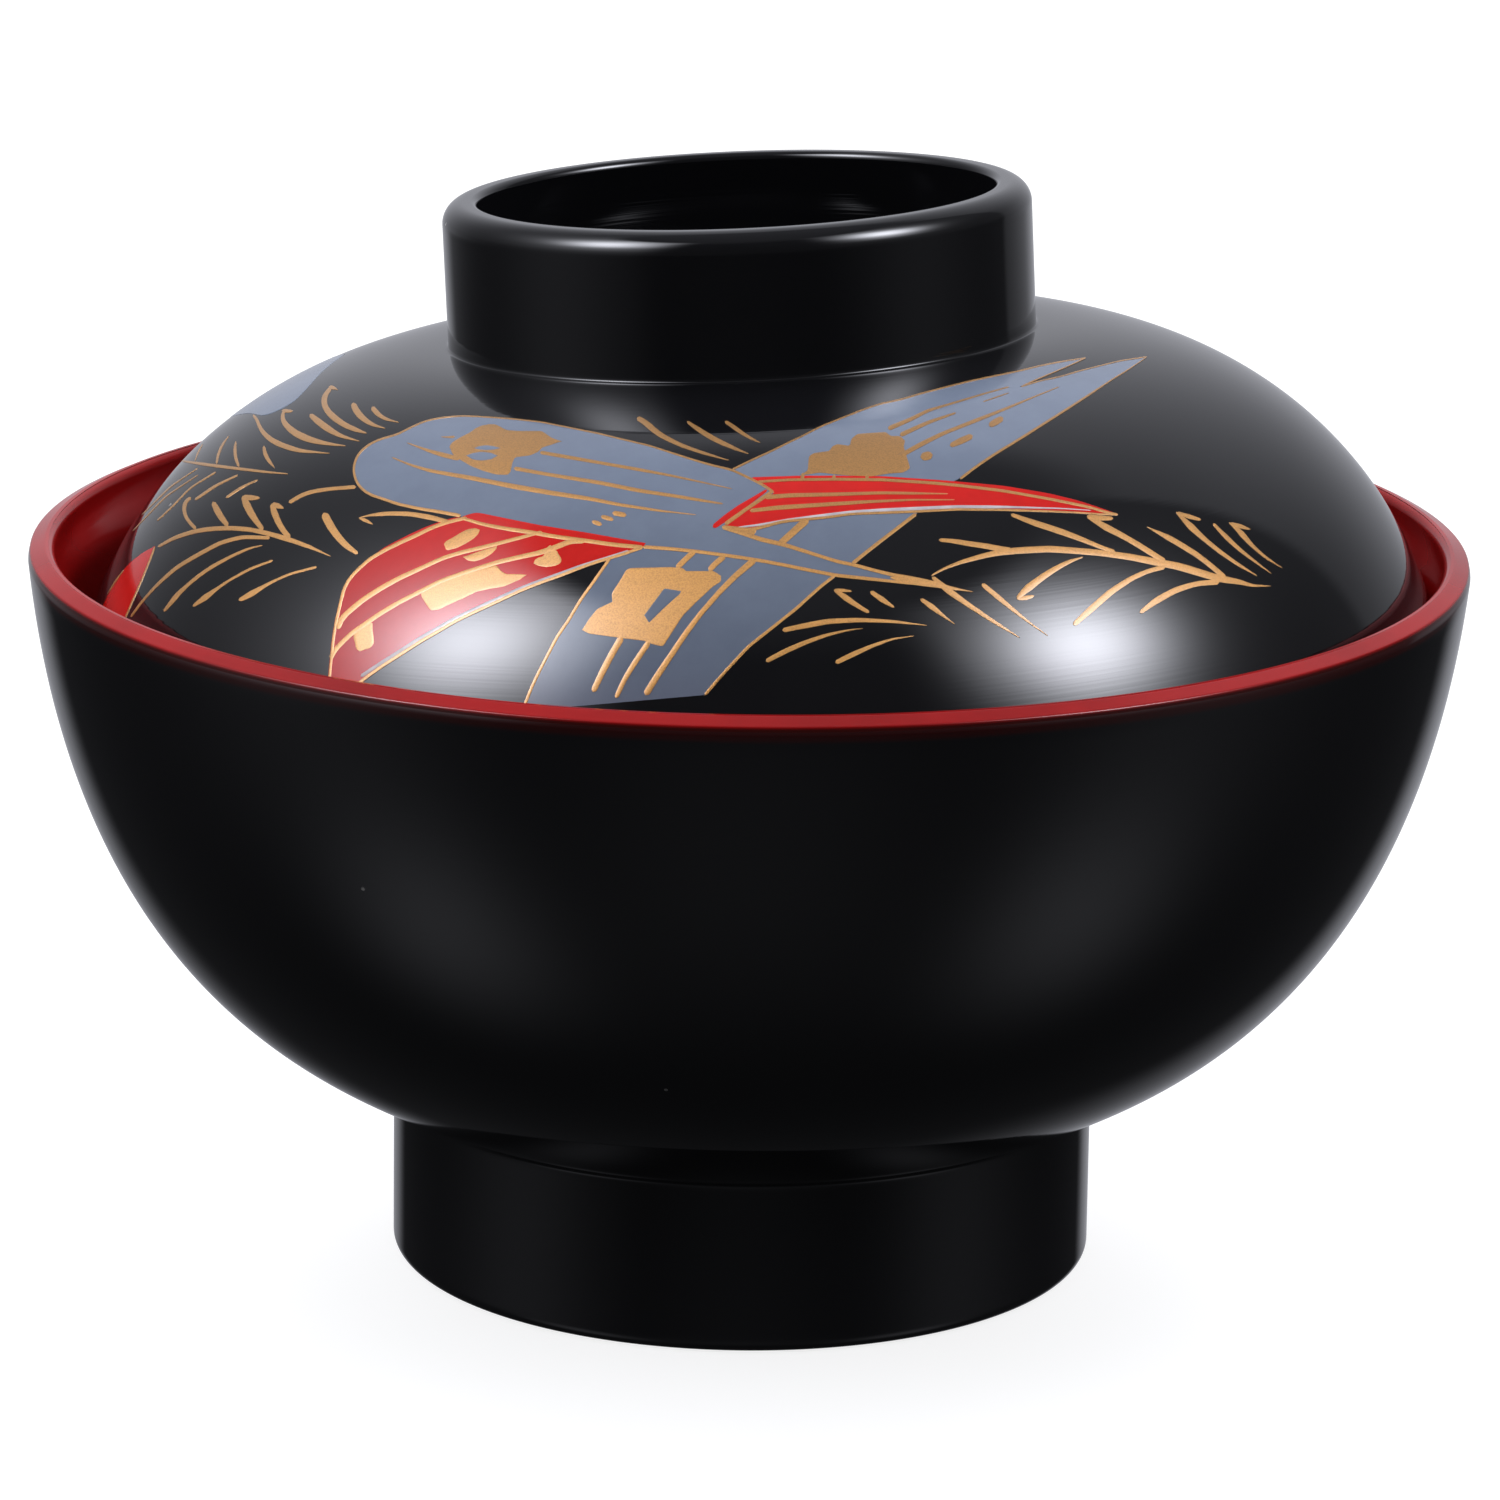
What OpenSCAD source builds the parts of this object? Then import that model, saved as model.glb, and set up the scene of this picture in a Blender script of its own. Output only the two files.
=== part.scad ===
// Lacquer soup bowl with a lid that rests inside its lip.
// Sizes are in millimetres. +Z is up, and the origin is the centre of the foot's underside.

/* [Bowl] */
// Radius of the bowl at its lip
rim_r = 60; // [54:0.5:68]
// Height of the bowl without its lid
bowl_h = 61.7; // [56:0.1:72]
// Width of the lip, seen from above
lip_w = 3.1; // [2.8:0.1:3.6]
// Rounding of the lip's two edges
lip_round = 1.4; // [0.8:0.1:1.4]
// Steepness of the belly where it leaves the foot, in degrees
belly_start = 28.2; // [24:0.1:34]
// Steepness of the belly where it meets the lip, in degrees
belly_end = 84.3; // [80:0.1:88]
// Height of the lowest point inside the bowl
inner_floor_z = 13.6; // [13.2:0.1:14.5]
// Thickness of the red lacquer that lines the bowl and the lid
lining_t = 0.35; // [0.2:0.05:0.5]

/* [Foot] */
// Radius of the foot ring
foot_r = 29.6; // [27:0.1:32]
// Height of the foot ring up to the belly
foot_h = 14.5; // [14:0.1:16]
// Width of the foot ring's wall
foot_w = 3.4; // [2.8:0.1:4]
// Rounding of the foot ring's outer bottom edge
foot_round = 1.2; // [0.6:0.1:1.4]
// Rounding of the foot ring's inner bottom edge
foot_inner_round = 0.7; // [0.4:0.1:1]
// Depth of the recess under the foot
foot_recess = 10; // [8:0.1:10.4]
// Radius of the cove in the corner of that recess
recess_cove = 2.4; // [1:0.1:3]
// Radius of the small cove between the foot and the belly
foot_cove = 0.6; // [0.3:0.1:1]

/* [Lid] */
// How far the widest part of the lid lies below the lip of the bowl
lid_drop = 6.4; // [5.6:0.1:7]
// Rise of the dome from its widest part to the ring on top
lid_rise = 23.7; // [20:0.1:26]
// Thickness of the lid at its edge
lid_edge_w = 2.4; // [2.1:0.1:2.8]
// Rounding of the lid's two edges
lid_edge_round = 1; // [0.6:0.1:1]
// Steepness of the dome at its edge, in degrees
dome_end = 72.8; // [68:0.1:76]
// Fall of the dome where it leaves the ring, in degrees
dome_start = 2.7; // [1:0.1:5]
// Thickness of the lid under the middle of the ring
crown_t = 2.9; // [2.4:0.1:3.4]
// How far the lid is tipped up on its right side, in degrees
tip_right = 3.13; // [0:0.01:4]
// How far the lid is tipped up on its front side, in degrees
tip_front = 2.56; // [0:0.01:4]

/* [Lid ring] */
// Radius of the ring on top of the lid
ring_r = 24.4; // [22:0.1:27]
// Height of that ring above the dome
ring_h = 12; // [9:0.1:14]
// Width of the ring's wall
ring_w = 3; // [2.6:0.1:3.6]
// Rounding of the ring's outer top edge
ring_round = 1.8; // [1:0.1:1.9]
// Rounding of the ring's inner top edge
ring_inner_round = 0.6; // [0.3:0.1:0.8]
// Radius of the small cove between the ring and the dome
ring_cove = 0.5; // [0.3:0.1:1]
// Depth of the hollow in the ring
hollow_depth = 11.4; // [8:0.1:11.6]
// Radius of the cove in the corner of that hollow
hollow_cove = 2; // [1:0.1:3]

/* [Lid seat] */
// Height of the middle of the round seat above the lip
seat_rise = 1.3; // [1:0.1:3]
// Depth below that middle down to which the seat is round
seat_depth = 13; // [12.5:0.1:14]
// Running gap between the lid's edge and its seat
seat_gap = 0.3; // [0.15:0.05:0.4]

/* [Hidden] */
$fn = 96;

// Number of straight steps along a long curve and round a small edge
curve_steps = 26;
edge_steps = 7;

// Pull of each end of the belly's curve, as shares of the line between its ends
belly_start_share = 0.107;
belly_end_share = 0.682;
// Pull of each end of the inner wall's curve, as shares of its reach and its rise
floor_pull_share = 0.29;
wall_pull_share = 1;
// Pull of each end of the dome's curve, as shares of the line between its ends
dome_start_share = 0.383;
dome_end_share = 0.361;
// Pull of each end of the lid's inner curve, as shares of its reach and its rise
crown_pull_share = 0.335;
skirt_pull_share = 1.26;
// Steepness of the lid's inner face at its edge, as a share of the dome's there
skirt_end_share = 0.93;

// The red lining ends on the outer edge of the lip, this far up its rounding, in degrees
lining_end = 18;

// The seat is a part of a ball, so that a tipped lid fits it as well as a level one
seat_z = bowl_h + seat_rise;
lip_z = bowl_h - lip_round;
seat_r = norm([rim_r - lip_w, seat_z - lip_z]);
seat_top_angle = asin((seat_z - lip_z) / seat_r);
seat_end_angle = asin(seat_depth / seat_r);

function polar(r, angle) = [r * cos(angle), r * sin(angle)];
function reversed(points) = [for (i = [len(points) - 1:-1:0]) points[i]];

// Points without those that repeat the one before
function distinct(points) =
    [for (i = [0:len(points) - 1])
        if (i == 0 || norm(points[i] - points[max(i - 1, 0)]) > 0) points[i]];

// Cubic curve from a to d that leaves a towards b and reaches d from c
function curve(a, b, c, d, n = curve_steps) =
    [for (i = [0:n]) let (t = i / n, s = 1 - t)
        s * s * s * a + 3 * s * s * t * b + 3 * s * t * t * c + t * t * t * d];

// Round stretch about a centre, from one angle to another
function bend(centre, r, from, to, n = edge_steps) =
    [for (i = [0:n]) centre + polar(r, from + (to - from) * i / n)];

// Small hollow curve that fills the corner where two faces meet
function cove(corner, size, angle_in, angle_out) =
    curve(corner + polar(size, angle_in), corner, corner, corner + polar(size, angle_out), edge_steps);

// Points moved sideways by a distance, to the left of the way they run
function beside(points, distance) =
    let (last = len(points) - 1)
    [for (i = [0:last])
        let (way = points[min(i + 1, last)] - points[max(i - 1, 0)])
        points[i] + distance * [-way[1], way[0]] / norm(way)];

// Points of a path that start after its first one and stop before its last one
function middle(points) = [for (i = [1:len(points) - 2]) points[i]];

// Bowl, from the axis under the foot, round the foot and up the belly
belly_foot = [foot_r, foot_h];
belly_top = [rim_r, lip_z];
belly_chord = norm(belly_top - belly_foot);
belly = curve(
    belly_foot,
    belly_foot + polar(belly_start_share * belly_chord, belly_start),
    belly_top - polar(belly_end_share * belly_chord, belly_end),
    belly_top);
foot_inner_r = foot_r - foot_w;

bowl_outside = concat(
    [[0, foot_recess]],
    bend([foot_inner_r - recess_cove, foot_recess - recess_cove], recess_cove, 90, 0),
    bend([foot_inner_r + foot_inner_round, foot_inner_round], foot_inner_round, 180, 270),
    bend([foot_r - foot_round, foot_round], foot_round, 270, 360),
    cove(belly_foot, foot_cove, -90, belly_start),
    [for (point = belly) if (norm(point - belly_foot) > 2 * foot_cove) point]);

// Lip of the bowl at a depth under its finished face
function lip_outside(depth, from, to) =
    bend([rim_r - lip_round, lip_z], lip_round - depth, from, to);
function lip_inside(depth) =
    bend([rim_r - lip_w + lip_round, lip_z], lip_round - depth, 90, 180);

// Inside of the bowl: the round seat under the lip, then the wall down to the floor
seat_end = [0, seat_z] + polar(seat_r, -seat_end_angle);
bowl_wall = concat(
    bend([0, seat_z], seat_r, -seat_top_angle, -seat_end_angle, edge_steps),
    middle(curve(
        seat_end,
        seat_end - polar(wall_pull_share * (seat_end[1] - inner_floor_z), 90 - seat_end_angle),
        [floor_pull_share * seat_end[0], inner_floor_z],
        [0, inner_floor_z])));
function bowl_inside(depth) =
    concat(beside(bowl_wall, depth), [[0, inner_floor_z - depth]]);

module bowl_shell() {
    color("#141416")
    rotate_extrude()
    polygon(distinct(concat(
        bowl_outside,
        lip_outside(0, 0, lining_end),
        lip_outside(lining_t, lining_end, 90),
        lip_inside(lining_t),
        bowl_inside(lining_t))));
}

module bowl_lining() {
    color("#b01c18")
    rotate_extrude()
    polygon(distinct(concat(
        lip_outside(0, lining_end, 90),
        lip_inside(0),
        bowl_inside(0),
        reversed(concat(
            lip_outside(lining_t, lining_end, 90),
            lip_inside(lining_t),
            bowl_inside(lining_t))))));
}

// Lid, level: its edge is widest at edge_z, a running gap away from the seat
edge_z = bowl_h - lid_drop;
edge_middle_r = sqrt(
    pow(seat_r - seat_gap - lid_edge_round, 2) - pow(seat_z - edge_z, 2));
edge_inner_r = edge_middle_r + 2 * lid_edge_round - lid_edge_w;
dome_top_z = edge_z + lid_rise;
ring_top_z = dome_top_z + ring_h;
hollow_z = ring_top_z - hollow_depth;
crown_z = hollow_z - crown_t;
ring_inner_r = ring_r - ring_w;

// Outside of the lid, from the axis in the hollow, over the ring and down the dome
dome_corner = [ring_r, dome_top_z];
dome_edge = [edge_middle_r, edge_z] + polar(lid_edge_round, 90 - dome_end);
dome_chord = norm(dome_edge - dome_corner);
dome = curve(
    dome_corner,
    dome_corner + polar(dome_start_share * dome_chord, -dome_start),
    dome_edge - polar(dome_end_share * dome_chord, -dome_end),
    dome_edge);

lid_outside = concat(
    [[0, hollow_z]],
    bend([ring_inner_r - hollow_cove, hollow_z + hollow_cove], hollow_cove, 270, 360),
    bend([ring_inner_r + ring_inner_round, ring_top_z - ring_inner_round], ring_inner_round, 180, 90),
    bend([ring_r - ring_round, ring_top_z - ring_round], ring_round, 90, 0),
    cove(dome_corner, ring_cove, 90, -dome_start),
    [for (point = dome) if (norm(point - dome_corner) > 2 * ring_cove) point],
    bend([edge_middle_r, edge_z], lid_edge_round, 90 - dome_end, -90));

// Inside of the lid at a depth under its finished face, from the edge up to the axis
skirt_end = skirt_end_share * dome_end;
skirt_foot = [edge_inner_r, edge_z] + polar(lid_edge_round, 270 - skirt_end);
lid_wall = middle(curve(
    skirt_foot,
    skirt_foot + polar(skirt_pull_share * (crown_z - skirt_foot[1]), 180 - skirt_end),
    [crown_pull_share * skirt_foot[0], crown_z],
    [0, crown_z]));
function lid_inside(depth) = concat(
    bend([edge_inner_r, edge_z], lid_edge_round - depth, 270, 270 - skirt_end),
    beside(lid_wall, -depth),
    [[0, crown_z + depth]]);

// Sets a level lid down tipped: it turns about the middle of the round seat
module tipped() {
    translate([0, 0, seat_z])
    rotate([-tip_front, -tip_right, 0])
    translate([0, 0, -seat_z])
    children();
}

module lid_shell() {
    color("#141416")
    tipped()
    rotate_extrude()
    polygon(distinct(concat(lid_outside, lid_inside(lining_t))));
}

module lid_lining() {
    color("#b01c18")
    tipped()
    rotate_extrude()
    polygon(distinct(concat(lid_inside(0), reversed(lid_inside(lining_t)))));
}

bowl_shell();
bowl_lining();
lid_shell();
lid_lining();
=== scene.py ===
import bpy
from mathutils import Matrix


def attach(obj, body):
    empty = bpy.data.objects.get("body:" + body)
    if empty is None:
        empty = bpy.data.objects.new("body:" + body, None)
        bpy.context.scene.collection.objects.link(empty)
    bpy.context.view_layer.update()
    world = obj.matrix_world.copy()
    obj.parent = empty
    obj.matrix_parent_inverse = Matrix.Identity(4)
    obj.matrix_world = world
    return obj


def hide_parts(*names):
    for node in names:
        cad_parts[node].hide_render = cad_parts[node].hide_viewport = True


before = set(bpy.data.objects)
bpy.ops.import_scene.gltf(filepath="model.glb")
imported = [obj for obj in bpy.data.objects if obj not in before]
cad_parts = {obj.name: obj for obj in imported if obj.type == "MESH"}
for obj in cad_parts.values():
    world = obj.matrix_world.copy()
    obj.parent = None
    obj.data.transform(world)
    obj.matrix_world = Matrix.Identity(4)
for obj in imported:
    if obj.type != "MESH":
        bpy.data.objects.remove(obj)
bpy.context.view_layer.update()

import math
import bpy
import numpy as np
from mathutils import Matrix

print("frame loaded")

metre = 0.001        # shapes are worked out in millimetres, and meshes are made in metres
tiny = 1e-6          # keeps a divisor off zero, and tells neighbouring places apart

bowlShape = {
    "rimRadius": 60, "height": 61.7, "lipWidth": 3.1, "lipRound": 1.4,
    "bellyStart": 28.2, "bellyEnd": 84.3,        # steepness at the foot and at the lip, degrees
    "bellyStartShare": 0.107, "bellyEndShare": 0.682,
    "floorHeight": 13.6, "floorPull": 0.29, "wallPull": 1.0,
    "footRadius": 29.6, "footHeight": 14.5, "footWidth": 3.4,
    "footRound": 1.2, "footInnerRound": 0.7, "footCove": 0.6,
    "recessDepth": 10, "recessCove": 2.4,
    "liningThickness": 0.35, "liningEnd": 18,    # degrees up the lip's rounding
    "lipEdgeIn": 0.14, "lipEdgeDown": 0.58, "lipEdgeRound": 0.25, "lipTopRound": 0.3,
    "lipHollow": 0.9, "lipHollowDepth": 3.5,     # the inner wall stands back under the lip
    "seatRise": 1.3, "seatDepth": 13, "seatGap": 0.3,
}

lidShape = {
    "drop": 6.4, "rise": 23.7, "edgeWidth": 2.4, "edgeRound": 1.0,
    "domeStart": 2.7, "domeEnd": 72.8,           # fall at the ring and at the edge, degrees
    "domeStartShare": 0.383, "domeEndShare": 0.361,
    "crownThickness": 2.9, "crownPull": 0.335, "skirtPull": 1.26, "skirtEndShare": 0.93,
    "ringRadius": 24.4, "ringHeight": 12, "ringWidth": 3, "ringRound": 1.8,
    "ringInnerRound": 0.6, "ringCove": 0.5, "hollowDepth": 11.4, "hollowCove": 2,
    "tipRight": 3.13, "tipFront": 2.56,          # how far the lid is tipped up, degrees
}

smoothness = {
    "turns": 288, "longCurve": 80, "edge": 14, "cove": 8, "straight": 10, "liningEdge": 4,
    "domeFiner": 12,                             # the row that paint is cast on is finer
    "sharpAngle": 50,                            # degrees
}


# Profiles: each is a row of (radius, height) points.

def polar(radius, degrees):
    angle = np.radians(degrees)
    return radius * np.array([np.cos(angle), np.sin(angle)])


def toward(a, b):
    return math.degrees(math.atan2(b[1] - a[1], b[0] - a[0]))


def curve(a, b, c, d, steps):
    # cubic curve: s^3 a + 3 s^2 t b + 3 s t^2 c + t^3 d, with s = 1 - t
    t = np.linspace(0, 1, steps + 1)[:, None]
    s = 1 - t
    return s**3 * a + 3 * s * s * t * b + 3 * s * t * t * c + t**3 * d


def bend(centre, radius, start, end, steps=smoothness["edge"]):
    # round stretch: centre + radius (cos angle, sin angle)
    angle = np.radians(np.linspace(start, end, steps + 1))
    return np.array(centre) + radius * np.stack([np.cos(angle), np.sin(angle)], 1)


def cove(corner, size, angleIn, angleOut):
    return curve(corner + polar(size, angleIn), corner, corner, corner + polar(size, angleOut),
                 smoothness["cove"])


def straight(a, b):
    # points between a and b, closer together at both ends: share = (1 - cos(pi k)) / 2
    share = (1 - np.cos(np.pi * np.linspace(0, 1, smoothness["straight"] + 1)[1:-1])) / 2
    return np.array(a) + share[:, None] * (np.array(b) - np.array(a))


def leftward(row):
    # unit steps to the left of the way the row runs
    way = np.gradient(row, axis=0)
    way /= np.linalg.norm(way, axis=1, keepdims=True)
    return np.stack([-way[:, 1], way[:, 0]], 1)


def joined(*rows):
    # rows of points end to end, without points that repeat the one before
    points = np.concatenate([np.atleast_2d(row) for row in rows])
    keep = np.append(True, np.linalg.norm(np.diff(points, axis=0), axis=1) > tiny)
    return points[keep]


def bowlProfiles(b):
    long, coat = smoothness["longCurve"], b["liningThickness"]
    footInner = b["footRadius"] - b["footWidth"]
    lipHeight = b["height"] - b["lipRound"]
    lipCentre = np.array([b["rimRadius"] - b["lipRound"], lipHeight])
    bellyFoot = np.array([b["footRadius"], b["footHeight"]])
    bellyTop = np.array([b["rimRadius"], lipHeight])
    chord = np.linalg.norm(bellyTop - bellyFoot)
    belly = curve(bellyFoot, bellyFoot + polar(b["bellyStartShare"] * chord, b["bellyStart"]),
                  bellyTop - polar(b["bellyEndShare"] * chord, b["bellyEnd"]), bellyTop, long)
    belly = belly[np.linalg.norm(belly - bellyFoot, axis=1) > 2 * b["footCove"]]
    recess, corner = b["recessDepth"], b["recessCove"]
    outer, inner = b["footRound"], b["footInnerRound"]
    outside = joined(
        [[0, recess]], straight([0, recess], [footInner - corner, recess]),
        bend([footInner - corner, recess - corner], corner, 90, 0),
        straight([footInner, recess - corner], [footInner, inner]),
        bend([footInner + inner, inner], inner, 180, 270),
        bend([b["footRadius"] - outer, outer], outer, 270, 360),
        straight([b["footRadius"], outer], [b["footRadius"], b["footHeight"] - b["footCove"]]),
        cove(bellyFoot, b["footCove"], -90, b["bellyStart"]), belly)

    # the inner wall: part of the ball that the lid's edge sits on, then a curve to the floor
    seatHeight = b["height"] + b["seatRise"]
    seatRadius = math.hypot(b["rimRadius"] - b["lipWidth"], seatHeight - lipHeight)
    seatTop = math.degrees(math.asin((seatHeight - lipHeight) / seatRadius))
    seatEnd = math.degrees(math.asin(b["seatDepth"] / seatRadius))
    endPoint = np.array([0, seatHeight]) + polar(seatRadius, -seatEnd)
    floor = b["floorHeight"]
    wall = joined(
        bend([0, seatHeight], seatRadius, -seatTop, -seatEnd),
        curve(endPoint, endPoint - polar(b["wallPull"] * (endPoint[1] - floor), 90 - seatEnd),
              np.array([b["floorPull"] * endPoint[0], floor]), np.array([0, floor]), long)[1:-1])
    # moved out by hollow x (3 t^2 - 2 t^3), where t runs from 0 to 1 up to the lip
    t = np.clip((wall[:, 1] - lipHeight) / b["lipHollowDepth"] + 1, 0, 1)
    wall[:, 0] += b["lipHollow"] * (3 * t**2 - 2 * t**3)
    innerRound = b["lipWidth"] - b["lipHollow"] - b["lipRound"]

    def lip(depth):
        # from the lip's outer side to its inner one: round underneath, while the face of the
        # coat slopes up from a tight outer edge
        inner = bend([lipCentre[0], b["height"] - innerRound], innerRound - depth, 90, 180)
        if depth:
            return joined(bend(lipCentre, b["lipRound"] - depth, b["liningEnd"], 90), inner)
        foot = lipCentre + polar(b["lipRound"], b["liningEnd"])
        outer = np.array([b["rimRadius"] - b["lipEdgeIn"], b["height"] - b["lipEdgeDown"]])
        top = np.array([lipCentre[0], b["height"]])
        one = cove(outer, b["lipEdgeRound"], toward(outer, foot), toward(outer, top))
        two = cove(top, b["lipTopRound"], toward(top, outer), 180)
        return joined([foot], one, straight(one[-1], two[0]), two, inner)

    def inside(depth):
        return joined(wall + depth * leftward(wall), [[0, floor - depth]])

    edge = bend(lipCentre, b["lipRound"], 0, b["liningEnd"], smoothness["liningEdge"])
    under = joined(lip(coat), inside(coat))
    lining = joined(under[::-1], lip(0), inside(0))
    return joined(outside, edge, under), lining, seatHeight, seatRadius


def lidProfiles(s, b, seatHeight, seatRadius):
    long, coat = smoothness["longCurve"], b["liningThickness"]
    edgeHeight = b["height"] - s["drop"]
    edgeRadius = math.sqrt((seatRadius - b["seatGap"] - s["edgeRound"])**2
                           - (seatHeight - edgeHeight)**2)
    innerRadius = edgeRadius + 2 * s["edgeRound"] - s["edgeWidth"]
    domeTop = edgeHeight + s["rise"]
    ringTop = domeTop + s["ringHeight"]
    hollow, deep = ringTop - s["hollowDepth"], s["hollowCove"]
    crown = hollow - s["crownThickness"]
    ring, ringInner = s["ringRadius"], s["ringRadius"] - s["ringWidth"]
    outer, inner = s["ringRound"], s["ringInnerRound"]
    corner = np.array([ring, domeTop])
    domeEdge = np.array([edgeRadius, edgeHeight]) + polar(s["edgeRound"], 90 - s["domeEnd"])
    chord = np.linalg.norm(domeEdge - corner)
    dome = curve(corner, corner + polar(s["domeStartShare"] * chord, -s["domeStart"]),
                 domeEdge - polar(s["domeEndShare"] * chord, -s["domeEnd"]), domeEdge,
                 smoothness["domeFiner"] * long)
    body = dome[::smoothness["domeFiner"]]
    body = body[np.linalg.norm(body - corner, axis=1) > 2 * s["ringCove"]]
    outside = joined(
        [[0, hollow]], straight([0, hollow], [ringInner - deep, hollow]),
        bend([ringInner - deep, hollow + deep], deep, 270, 360),
        straight([ringInner, hollow + deep], [ringInner, ringTop - inner]),
        bend([ringInner + inner, ringTop - inner], inner, 180, 90),
        bend([ring - outer, ringTop - outer], outer, 90, 0),
        straight([ring, ringTop - outer], [ring, domeTop + s["ringCove"]]),
        cove(corner, s["ringCove"], 90, -s["domeStart"]), body,
        bend([edgeRadius, edgeHeight], s["edgeRound"], 90 - s["domeEnd"], -90))
    skirtEnd = s["skirtEndShare"] * s["domeEnd"]
    skirtFoot = np.array([innerRadius, edgeHeight]) + polar(s["edgeRound"], 270 - skirtEnd)
    pull = s["skirtPull"] * (crown - skirtFoot[1])
    wall = curve(skirtFoot, skirtFoot + polar(pull, 180 - skirtEnd),
                 np.array([s["crownPull"] * skirtFoot[0], crown]), np.array([0, crown]),
                 long)[1:-1]

    def inside(depth):
        edge = bend([innerRadius, edgeHeight], s["edgeRound"] - depth, 270, 270 - skirtEnd)
        return joined(edge, wall - depth * leftward(wall), [[0, crown + depth]])

    return joined(outside, inside(coat))[::-1], joined(inside(0)[::-1], inside(coat)), dome


def stitched(rings, around):
    # quads between neighbouring rings of a grid, and a fan of triangles from each end ring to
    # its pole; the two poles follow the grid's points
    here = np.arange(rings * around).reshape(rings, around)
    there = np.roll(here, -1, axis=1)
    quads = np.stack([here[:-1], there[:-1], there[1:], here[1:]], -1).reshape(-1, 4)
    pole = np.full(around, rings * around)
    fans = np.concatenate([np.stack([pole, there[0], here[0]], -1),
                           np.stack([pole + 1, here[-1], there[-1]], -1)])
    return quads, fans


def turned(profile, turns):
    # surface of revolution: (r cos a, r sin a, z); the two ends lie on the axis
    angle = np.linspace(0, 2 * np.pi, turns, endpoint=False)
    rings = profile[1:-1]
    grid = np.stack([rings[:, :1] * np.cos(angle), rings[:, :1] * np.sin(angle),
                     np.repeat(rings[:, 1:], turns, axis=1)], -1)
    poles = [[0, 0, profile[0, 1]], [0, 0, profile[-1, 1]]]
    return np.concatenate([grid.reshape(-1, 3), poles]), *stitched(len(rings), turns)


def tipMatrix(s):
    # the lid first turns about X, then about Y
    front, right = math.radians(-s["tipFront"]), math.radians(-s["tipRight"])
    return np.array((Matrix.Rotation(right, 3, "Y") @ Matrix.Rotation(front, 3, "X")))


def addPiece(name, body, material, points, quads, fans, edge=None):
    mesh = bpy.data.meshes.new(name)
    mesh.from_pydata((points * metre).tolist(), [], quads.tolist() + fans.tolist())
    mesh.shade_smooth()
    mesh.set_sharp_from_angle(angle=math.radians(smoothness["sharpAngle"]))
    if edge is not None:
        mesh.attributes.new("edge", "FLOAT", "POINT").data.foreach_set("value", edge)
    mesh.materials.append(material)
    piece = bpy.data.objects.new(name, mesh)
    bpy.context.scene.collection.objects.link(piece)
    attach(piece, body)
    return piece


class Wire:
    # an output socket that takes plain arithmetic; each step adds one Math node
    def __init__(self, kit, socket):
        self.kit, self.socket = kit, socket

    def step(self, operation, first, second=0.0):
        return self.kit.node("ShaderNodeMath", {"operation": operation}, {0: first, 1: second})

    def __add__(self, other): return self.step("ADD", self, other)
    def __sub__(self, other): return self.step("SUBTRACT", self, other)
    def __mul__(self, other): return self.step("MULTIPLY", self, other)
    def __truediv__(self, other): return self.step("DIVIDE", self, other)
    def __pow__(self, other): return self.step("POWER", self, other)
    def __rsub__(self, other): return self.step("SUBTRACT", other, self)
    __radd__ = __add__
    __rmul__ = __mul__

    def exp(self): return self.step("EXPONENT", self)

    def between(self, low, high):
        # 0 below low, 1 above high, smooth in between; the other way round if low is the larger
        return self.kit.node("ShaderNodeMapRange", {"interpolation_type": "SMOOTHSTEP"},
                             {0: self, 1: low, 2: high})


class NodeKit:
    def __init__(self, tree):
        self.tree = tree
        tree.nodes.clear()

    def node(self, kind, settings=None, values=None, out=0):
        made = self.tree.nodes.new(kind)
        for name, value in (settings or {}).items():
            setattr(made, name, value)
        for name, value in (values or {}).items():
            if isinstance(value, Wire):
                self.tree.links.new(value.socket, made.inputs[name])
            else:
                made.inputs[name].default_value = value
        return Wire(self, made.outputs[out]) if made.outputs else made

    def mixed(self, factor, first, second):
        return self.node("ShaderNodeMix", {"data_type": "RGBA"},
                         {0: factor, 6: first, 7: second}, 2)

    def vector(self, operation, first, second=(0, 0, 0), out=0):
        return self.node("ShaderNodeVectorMath", {"operation": operation},
                         {0: first, 1: second}, out)

    def parts(self, vector):
        x = self.node("ShaderNodeSeparateXYZ", None, {0: vector})
        made = x.socket.node
        return x, Wire(self, made.outputs[1]), Wire(self, made.outputs[2])

    def noise(self, vector, scale, detail=2.0, rough=0.5):
        return self.node("ShaderNodeTexNoise", None, {
            "Vector": vector, "Scale": scale, "Detail": detail, "Roughness": rough})

    def bump(self, height, depth):
        return self.node("ShaderNodeBump", None, {
            "Strength": 1.0, "Distance": depth, "Height": height})

    def place(self):
        return self.node("ShaderNodeTexCoord", out="Object")


def colour(red, green, blue):
    return (red, green, blue, 1.0)


white = colour(1, 1, 1)


def newMaterial(name):
    material = bpy.data.materials.new(name)
    material.use_nodes = True
    return material, NodeKit(material.node_tree)


def surface(kit, values):
    shader = kit.node("ShaderNodeBsdfPrincipled", None, values)
    kit.node("ShaderNodeOutputMaterial", None, {"Surface": shader})


photoCamera = {
    "place": (0, -624.21, 210.35),                    # millimetres
    "down": 14.9822, "turn": 0.0248, "roll": 0.8098,  # degrees
    "focal": 7683.76, "frame": 1500,                  # pixels
    "sensor": 36,                                     # millimetres
}


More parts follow.
